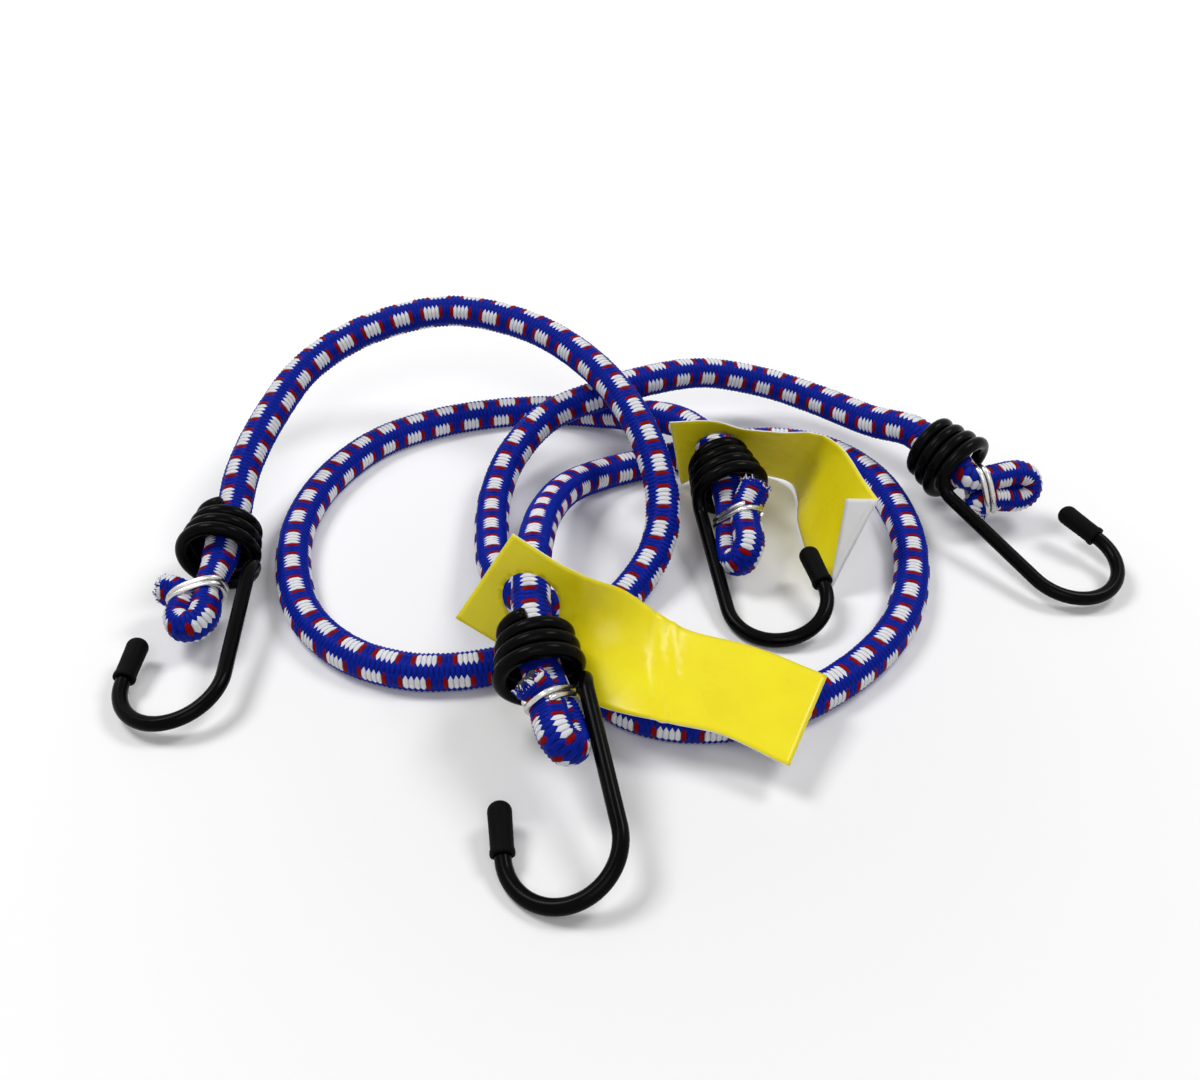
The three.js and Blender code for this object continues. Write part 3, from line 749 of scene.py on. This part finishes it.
def core_end(name, line):
    """Rubber core at a cut face: a bundle of round threads."""
    vertices, faces = [], []
    base, ahead = line.place[0], -line.ahead[0]
    first, second = line.first[0], line.second[0]
    threads = [(0, 0)] + [(math.cos(a), math.sin(a)) for a in round_turns(CORE_THREADS)]
    for across, over in threads:
        middle = base + first * across * CORE_RADIUS * CORE_SPREAD[0]
        middle = middle + second * over * CORE_RADIUS * CORE_SPREAD[1]
        start = len(vertices)
        rise = rng.uniform(*CORE_THREAD_RISE)
        for wide, level in CORE_THREAD_RINGS:
            for turn in round_turns(CORE_THREAD_SIDES):
                out = first * math.cos(turn) + second * math.sin(turn)
                out = out * CORE_RADIUS * CORE_THREAD_WIDE * wide
                vertices.append(middle + out + ahead * (level + rise))
        faces += tube_faces(len(CORE_THREAD_RINGS), CORE_THREAD_SIDES, start)
        faces.append(tuple(range(len(vertices) - CORE_THREAD_SIDES, len(vertices))))
    return mesh_piece(name, vertices, faces, (CORE_RUBBER,))


def folded_end(name, hook):
    """Braid, torn yarns and core of a folded cord end."""
    line = fold_line(hook)
    seam = line.nearest(set_on(hook, (0, 0, SEAM))[0])
    round_at = line.nearest(set_on(hook, (0, 0, FOLD_ROUND_AT))[0])
    at_clip = fold_points(hook, [(*strand_at_clip(hook, side), hook["clip"]) for side in (1, -1)])
    clipped = [line.nearest(place) for place in set_on(hook, at_clip)]

    def girth(s):
        round_part = np.clip((s - round_at + FOLD_ROUND_LENGTH) / FOLD_ROUND_LENGTH, 0, 1)
        round_part = round_part * round_part * (3 - 2 * round_part)
        wide = 1 - sum(PINCH * np.exp(-(((s - place) / PINCH_LENGTH) ** 2)) for place in clipped)
        wide *= 1 + END_SPREAD * np.exp(-s / END_SPREAD_LENGTH)
        first = FOLD_HALF_DEPTH + (CORD_RADIUS - FOLD_HALF_DEPTH) * round_part
        second = FOLD_HALF_WIDTH + (CORD_RADIUS - FOLD_HALF_WIDTH) * round_part
        return first * wide, second * wide

    def turned(s):
        return np.full(s.shape, hook["twist"])

    skin = weave(name + "_fold", line, 0, seam, turned, girth, pitch=FOLD_PITCH)
    fray = frayed_end(name + "_fray", line)
    core = core_end(name + "_core_end", line)
    for piece, slot in ((skin, "sheath"), (fray, "sheath"), (core, "core")):
        dress(piece, hook["body"], hook["cord"] + "_" + slot)


for name, hook in HOOKS.items():
    folded_end(name, hook)


# Wires
def wire(name, points, radius, sides, material):
    """A round wire along close points, its ends rounded."""
    ahead = unit(np.gradient(points, axis=0))
    spin = unit(np.cross(ahead[0], SPIN_REFERENCE))
    fronts = []
    for heading in ahead:
        spin = unit(spin - (spin @ heading) * heading)
        fronts.append((spin, np.cross(heading, spin)))
    out = radius * WIRE_END_OUT
    middles = [points[0] - ahead[0] * out, *points, points[-1] + ahead[-1] * out]
    sizes = [radius * WIRE_END_WIDE] + [radius] * len(points) + [radius * WIRE_END_WIDE]
    fronts = [fronts[0], *fronts, fronts[-1]]
    turn = round_turns(sides)[:, None]
    vertices = np.concatenate([
        middle + size * (np.cos(turn) * first + np.sin(turn) * second)
        for middle, size, (first, second) in zip(middles, sizes, fronts)
    ])
    faces = [tuple(range(sides))[::-1], tuple(range(len(vertices) - sides, len(vertices)))]
    return mesh_piece(name, vertices, faces + tube_faces(len(middles), sides), (material,))


def bezier(a, b, c, d, t):
    return a * (1 - t) ** 3 + 3 * b * t * (1 - t) ** 2 + 3 * c * t**2 * (1 - t) + d * t**3


def steps(end, count):
    """A column of even steps from nought to end, without the first."""
    return np.linspace(0, end, count)[1:, None]


def hook_line():
    """Middle line of the hook's wire in the hook's frame, with its end and the direction there."""
    share = 1 - ELBOW_ANGLE / (COIL_TURNS * 360)
    part = np.linspace(0, share, COIL_POINTS)
    angle = np.radians((part - 1) * COIL_TURNS * 360)
    reach = COIL_NARROW + COIL_FLARE * part
    coil = np.stack((reach * np.cos(angle), reach * np.sin(angle), (part - 1) * COIL_BACK), axis=1)
    flare = math.radians(SHANK_FLARE)
    ahead = np.array((math.sin(flare), 0, math.cos(flare)))
    inward = np.array((-math.cos(flare), 0, math.sin(flare)))
    leave = coil[-1] + unit(coil[-1] - coil[-2]) * ELBOW_ARM
    shank = np.array((COIL_NARROW + COIL_FLARE + ELBOW_OUT, 0, ELBOW_RISE))
    elbow = bezier(coil[-1], leave, shank - ahead * ELBOW_ARM, shank, steps(1, ELBOW_POINTS))
    straight = shank + ahead * steps(SHANK_LENGTH, SHANK_POINTS)
    turn = np.radians(steps(BEND_SWEEP, BEND_POINTS))
    bend = straight[-1] + inward * BEND_RADIUS * (1 - np.cos(turn)) + ahead * BEND_RADIUS * np.sin(turn)
    last = math.radians(BEND_SWEEP)
    tip_ahead = ahead * math.cos(last) + inward * math.sin(last)
    tip = bend[-1] + tip_ahead * steps(TIP_LENGTH, TIP_POINTS)
    return np.concatenate((coil, elbow, straight, bend, tip)), tip[-1], tip_ahead


HOOK_LINE, HOOK_TIP, TIP_AHEAD = hook_line()


def cap_profile():
    """Half width and level of each ring of a tip cap, from inside its mouth to its domed end."""
    rings = [(WIRE_RADIUS, -CAP_DEPTH + CAP_BORE_SEEN), (WIRE_RADIUS + CAP_BORE_CLEARANCE, -CAP_DEPTH)]
    rings += [(CAP_RADIUS + CAP_LIP * share, -CAP_DEPTH + level) for share, level in CAP_LIP_RINGS]
    for part in np.linspace(CAP_BODY_FROM, 1, CAP_BODY_RINGS):
        rings.append((CAP_RADIUS + CAP_BULB * part**2, -CAP_DEPTH + (CAP_DEPTH - CAP_SHOULDER) * part))
    for turn in np.radians(np.linspace(*CAP_DOME_FROM_TO, CAP_DOME_RINGS)):
        level = -CAP_SHOULDER + (CAP_END + CAP_SHOULDER) * math.sin(turn)
        rings.append(((CAP_RADIUS + CAP_BULB) * math.cos(turn), level))
    return rings


def tip_cap(name, hook):
    """Sleeve over the wire's end: open mouth with a lip, a little fuller at its domed end."""
    first = np.array((0, 1, 0))
    second = np.cross(TIP_AHEAD, first)
    turn = round_turns(CAP_SIDES)[:, None]
    rings = [
        HOOK_TIP + TIP_AHEAD * level + wide * (np.cos(turn) * first + np.sin(turn) * second)
        for wide, level in cap_profile()
    ]
    vertices = set_on(hook, np.concatenate(rings))
    faces = [tuple(range(len(vertices) - CAP_SIDES, len(vertices)))]
    return mesh_piece(name, vertices, faces + tube_faces(len(rings), CAP_SIDES), (CAP_RUBBER,))


def clip_line(hook):
    """Wire wound round the two squeezed strands, a little slanted."""
    main, tail = np.array(hook["main"]), np.array(hook["tail"])
    middle, arm = (main + tail) / 2, (tail - main) / 2
    along = unit(arm)
    over = np.array((-along[1], along[0]))
    outside = CLIP_WIRE_RADIUS * CLIP_OUTSIDE
    wide = DRAWN * np.linalg.norm(arm) + FOLD_HALF_WIDTH * (1 - PINCH) + outside
    deep = FOLD_HALF_DEPTH * (1 - PINCH) + outside
    turns = np.linspace(*CLIP_FROM_TO_TURNS, CLIP_POINTS) * 2 * math.pi
    x = np.sign(np.cos(turns)) * np.abs(np.cos(turns)) ** CLIP_CORNER * wide
    y = np.sign(np.sin(turns)) * np.abs(np.sin(turns)) ** CLIP_CORNER * deep
    flat = middle + x[:, None] * along + y[:, None] * over
    level = hook["clip"] + (turns / (2 * math.pi) - 1) * CLIP_WIRE_RADIUS * CLIP_RISE
    level = level + hook["lean"] * x + hook["dip"] * y
    return fold_points(hook, np.column_stack((flat, level)))


for name, hook in HOOKS.items():
    piece = wire(name + "_hook_wire", set_on(hook, HOOK_LINE), WIRE_RADIUS, WIRE_SIDES, COATING)
    dress(piece, hook["hook_body"], name + "_hook")
    piece = tip_cap(name + "_cap", hook)
    dress(piece, hook["hook_body"], name + "_tip_cap")
    piece = wire(name + "_clip", set_on(hook, clip_line(hook)), CLIP_WIRE_RADIUS, CLIP_SIDES, CLIP_METAL)
    dress(piece, hook["body"], name + "_end_clip")


# Tags
class Strip:
    """A bent strip: along it and across it, in metres, to a place on the strip."""

    def __init__(self, stations):
        centre = np.array([s[0] for s in stations]) - ORIGIN
        across = np.array([s[1] for s in stations], float)
        places = np.linspace(0, len(stations) - 1, STRIP_SAMPLES)
        self.middle = catmull(centre, places)
        self.lean = unit(catmull(across, places))
        self.along = run_of(self.middle)
        self.ahead = unit(np.gradient(self.middle, axis=0))

    def place(self, flat):
        """Places of flat points, along and across, and the direction that the strip faces there."""
        inside = np.clip(flat[:, 0], 0, self.along[-1])
        ahead, lean = (unit(pick(inside, self.along, values)) for values in (self.ahead, self.lean))
        middle = pick(inside, self.along, self.middle) + ahead * (flat[:, :1] - inside[:, None])
        return middle + lean * flat[:, 1:], unit(np.cross(ahead, lean))


def hole_outline(strip, axis):
    """The hole's rim on the flat strip: a round hole seen along the cord."""
    centre = np.array((TAG_HOLE_FROM_END, TAG_HOLE_ABOVE_MIDDLE))
    middle, _ = strip.place(centre[None])
    rim = []
    for turn in round_turns(TAG_HOLE_POINTS):
        ray = np.linspace(*RIM_FROM_TO, RIM_SAMPLES)
        spot = centre + ray[:, None] * np.array((math.cos(turn), math.sin(turn)))
        offset = strip.place(spot)[0] - middle
        gap = np.linalg.norm(offset - (offset @ axis)[:, None] * axis, axis=1)
        rim.append(spot[np.argmax(gap > TAG_HOLE_RADIUS)])
    return np.array(rim)


def beyond_rim(rim, spots):
    """How many times as far from the hole's middle as its rim each flat spot lies."""
    centre = rim.mean(axis=0)
    rim_turn, turn = (np.arctan2(*(points - centre).T[::-1]) for points in (rim, spots))
    order = np.argsort(rim_turn)
    reach = np.linalg.norm(rim - centre, axis=1)[order]
    limit = np.interp(turn, rim_turn[order], reach, period=2 * math.pi)
    return np.linalg.norm(spots - centre, axis=1) / limit


def chain(start, count):
    """Edges that join points which follow each other."""
    return [(i, i + 1) for i in range(start, start + count - 1)]


def crease_lines(creases, first):
    """Flat points along each crease and beside it, and the edges that join them, counted from first."""
    spots, edges = [], []
    for at, slant, _, width, low, high in creases:
        across = np.linspace(low, high, round((high - low) / TAG_GRID) + 1)
        for beside in (-width, 0, width):
            edges += chain(first + sum(map(len, spots)), len(across))
            spots.append(np.column_stack((at + slant * across + beside, across)))
    return np.concatenate(spots), edges


def clear_of_creases(creases, flat):
    """True where a flat point keeps off every crease and is no part of it."""
    clear = np.full(len(flat), True)
    for at, slant, _, width, low, high in creases:
        near = np.abs(flat[:, 0] - at - slant * flat[:, 1]) < width + CREASE_CLEAR
        clear &= ~(near & (flat[:, 1] > low - SAME) & (flat[:, 1] < high + SAME))
    return clear


def crease_height(creases, flat):
    """How far each flat point stands off the smooth strip."""
    height = np.zeros(len(flat))
    for at, slant, top, width, low, high in creases:
        off = np.clip(1 - np.abs(flat[:, 0] - at - slant * flat[:, 1]) / width, 0, 1)
        fade = np.clip(np.minimum(flat[:, 1] - low, high - flat[:, 1]) / CREASE_FADE + 1, 0, 1)
        height += top * off * fade
    return height


def ear_outward(ear):
    """Flat direction square to the line that a corner is folded on, towards the corner."""
    along = unit(np.subtract(ear[1], ear[0]))
    return np.array((-along[1], along[0]))


def ear_lines(ear, first):
    """Flat points along the bend of a folded corner, and the edges that join them, counted from first."""
    along = unit(np.subtract(ear[1], ear[0]))
    spots, edges = [], []
    for step in EAR_BENDS:
        base = np.array(ear[0]) + ear_outward(ear) * step
        ends = (TAG_WIDTH / 2 - base[1]) / along[1], (TAG_LENGTH - base[0]) / along[0]
        edges += chain(first + sum(map(len, spots)), EAR_POINTS)
        spots.append(base + np.linspace(*ends, EAR_POINTS)[:, None] * along)
    return np.concatenate(spots), edges


def clear_of_ear(ear, flat):
    """True where a flat point keeps off the bend of the folded corner."""
    beyond = (flat - np.array(ear[0])) @ ear_outward(ear)
    return (beyond < EAR_BENDS[0] - EAR_CLEAR) | (beyond > EAR_BENDS[-1] + EAR_CLEAR)


def fold_corner(strip, flat, place, face, ear):
    """Turns the corner beyond the ear's line over onto the front, and its facing with it."""
    out = ear_outward(ear)
    beyond = ((flat - np.array(ear[0])) @ out)[:, None]
    foot = flat - beyond * out
    here, normal = strip.place(foot)
    outward = unit(strip.place(foot + out * TAG_GRID)[0] - here)
    bent = np.clip(beyond / EAR_ROUND, 0, 1)
    turn = math.radians(EAR_TURN) * bent
    flap = outward * np.cos(turn) + normal * np.sin(turn)
    lifted = here + normal * EAR_LIFT * bent + flap * beyond
    facing = normal * np.cos(turn) - outward * np.sin(turn)
    return np.where(beyond > 0, lifted, place), np.where(beyond > 0, facing, face)


def flat_mesh(rim, creases, ear):
    """Points and triangles of the flat tag round its hole, with edges along creases and folds."""
    columns, rows = round(TAG_LENGTH / TAG_GRID), round(TAG_WIDTH / TAG_GRID)
    along, across = np.linspace(0, TAG_LENGTH, columns + 1), np.linspace(-0.5, 0.5, rows + 1) * TAG_WIDTH
    grid = np.column_stack([axis.ravel() for axis in np.meshgrid(along, across)])
    grid = grid[(beyond_rim(rim, grid) > 1 + RIM_CLEAR) & clear_of_creases(creases, grid)]
    lines, edges = crease_lines(creases, len(rim))
    edges = [(i, (i + 1) % len(rim)) for i in range(len(rim))] + edges
    flat = np.vstack((rim, lines))
    if ear:
        bends, joins = ear_lines(ear, len(flat))
        edges += joins
        flat = np.vstack((flat, bends))
        grid = grid[clear_of_ear(ear, grid)]
    flat = np.vstack((flat, grid))
    points, _, triangles, *_ = delaunay_2d_cdt([Vector(p) for p in flat], edges, [], 0, JOIN)
    flat = np.array([tuple(p) for p in points])
    middles = np.array([flat[list(t)].mean(axis=0) for t in triangles])
    triangles = [t for t, far in zip(triangles, beyond_rim(rim, middles)) if far > RIM_KEEP]
    p, q, r = flat[list(triangles[0])]
    (px, py), (qx, qy) = q - p, r - p
    sense = 1 if px * qy > py * qx else -1
    return flat, [tuple(t)[::sense] for t in triangles]


def film_faces(triangles, count):
    """Faces of the film's front, back and edges, and which of its two materials each has."""
    used = {(t[i], t[(i + 1) % 3]) for t in triangles for i in range(3)}
    faces, index = [], []
    for t in triangles:
        faces += [t, tuple(i + count for i in t[::-1])]
        index += [0, 1]
    for p, q in sorted(used):
        if (q, p) not in used:
            faces.append((q, p, p + count, q + count))
            index.append(1)
    return faces, index


def tag(name, stations, hook, creases, ear=None):
    """Film tag with a hole for the cord: yellow in front, white behind, creased, perhaps a corner folded."""
    strip = Strip(stations)
    flat, triangles = flat_mesh(hole_outline(strip, coil_axis(hook)), creases, ear)
    place, face = strip.place(flat)
    place = place + face * crease_height(creases, flat)[:, None]
    if ear:
        place, face = fold_corner(strip, flat, place, face, ear)
    vertices = np.vstack((place + face * TAG_THICKNESS / 2, place - face * TAG_THICKNESS / 2))
    faces, index = film_faces(triangles, len(flat))
    lay = np.vstack((flat, flat)) * MILLIMETRES
    piece = mesh_piece(name + "_film", vertices, faces, (FILM_FRONT, FILM_BACK), index, lay)
    dress(piece, name + "_body", name)


tag("front_tag", FRONT_TAG, HOOKS["front"], FRONT_CREASES)
tag("back_tag", BACK_TAG, HOOKS["middle"], BACK_CREASES, BACK_EAR)


# Floor and light
FLOOR_SIZE = 6
FLOOR_WHITE = (0.94, 0.94, 0.945, 1)
FLOOR_ROUGHNESS = 0.8
PLAIN_WHITE = (1, 1, 1, 1)
# The floor seen by the camera turns to plain white away from the object
GLOW = 0.8
GLOW_FROM_TO = (0.04, 0.80)
WORLD_STRENGTH = 0.17
# Softboxes: place, size and power
LAMPS = (
    ((-0.48, 0.22, 0.80), 0.34, 4.15),
    ((0.50, 0.24, 0.76), 0.30, 3.0),
    ((0.05, -0.62, 0.75), 0.50, 1.95),
)


def background_seen(tree):
    """One for rays that show the background, even in metal or glass; zero for rays that give light."""
    path = tree.nodes.new("ShaderNodeLightPath")
    seen = path.outputs["Is Camera Ray"]
    for ray in ("Is Glossy Ray", "Is Transmission Ray"):
        seen = worked_out(tree, "MAXIMUM", seen, path.outputs[ray])
    return seen


def floor_material():
    """White floor that keeps its shadows; away from the object it fades to the white of a backdrop."""
    made, tree, shader = material(
        "floor_white", Base_Color=FLOOR_WHITE, Roughness=FLOOR_ROUGHNESS, Emission_Color=PLAIN_WHITE,
    )
    away = tree.nodes.new("ShaderNodeVectorMath")
    away.operation = "LENGTH"
    tree.links.new(own_space(tree), away.inputs[0])
    near, far = GLOW_FROM_TO
    spread = node(tree, "ShaderNodeMapRange", From_Min=near, From_Max=far, To_Max=GLOW)
    tree.links.new(away.outputs["Value"], spread.inputs["Value"])
    strength = worked_out(tree, "MULTIPLY", spread.outputs["Result"], background_seen(tree))
    tree.links.new(strength, shader.inputs["Emission Strength"])
    return made


def make_floor():
    bpy.ops.mesh.primitive_plane_add(size=FLOOR_SIZE, location=(0, 0, 0))
    floor = bpy.context.object
    floor.name = "floor"
    floor.data.materials.append(floor_material())


def make_world():
    world = bpy.data.worlds.new("world")
    world.use_nodes = True
    tree = world.node_tree
    background = tree.nodes["Background"]
    background.inputs["Color"].default_value = PLAIN_WHITE
    lit = node(tree, "ShaderNodeMapRange", To_Min=WORLD_STRENGTH)
    tree.links.new(background_seen(tree), lit.inputs["Value"])
    tree.links.new(lit.outputs["Result"], background.inputs["Strength"])
    bpy.context.scene.world = world


def make_lamp(place, size, power):
    data = bpy.data.lights.new("softbox", "AREA")
    data.size = size
    data.energy = power
    lamp = bpy.data.objects.new("softbox", data)
    lamp.location = place
    lamp.rotation_euler = (-Vector(place)).to_track_quat("-Z", "Y").to_euler()
    bpy.context.scene.collection.objects.link(lamp)


make_floor()
make_world()
for lamp in LAMPS:
    make_lamp(*lamp)
bpy.context.scene.view_settings.view_transform = "Standard"
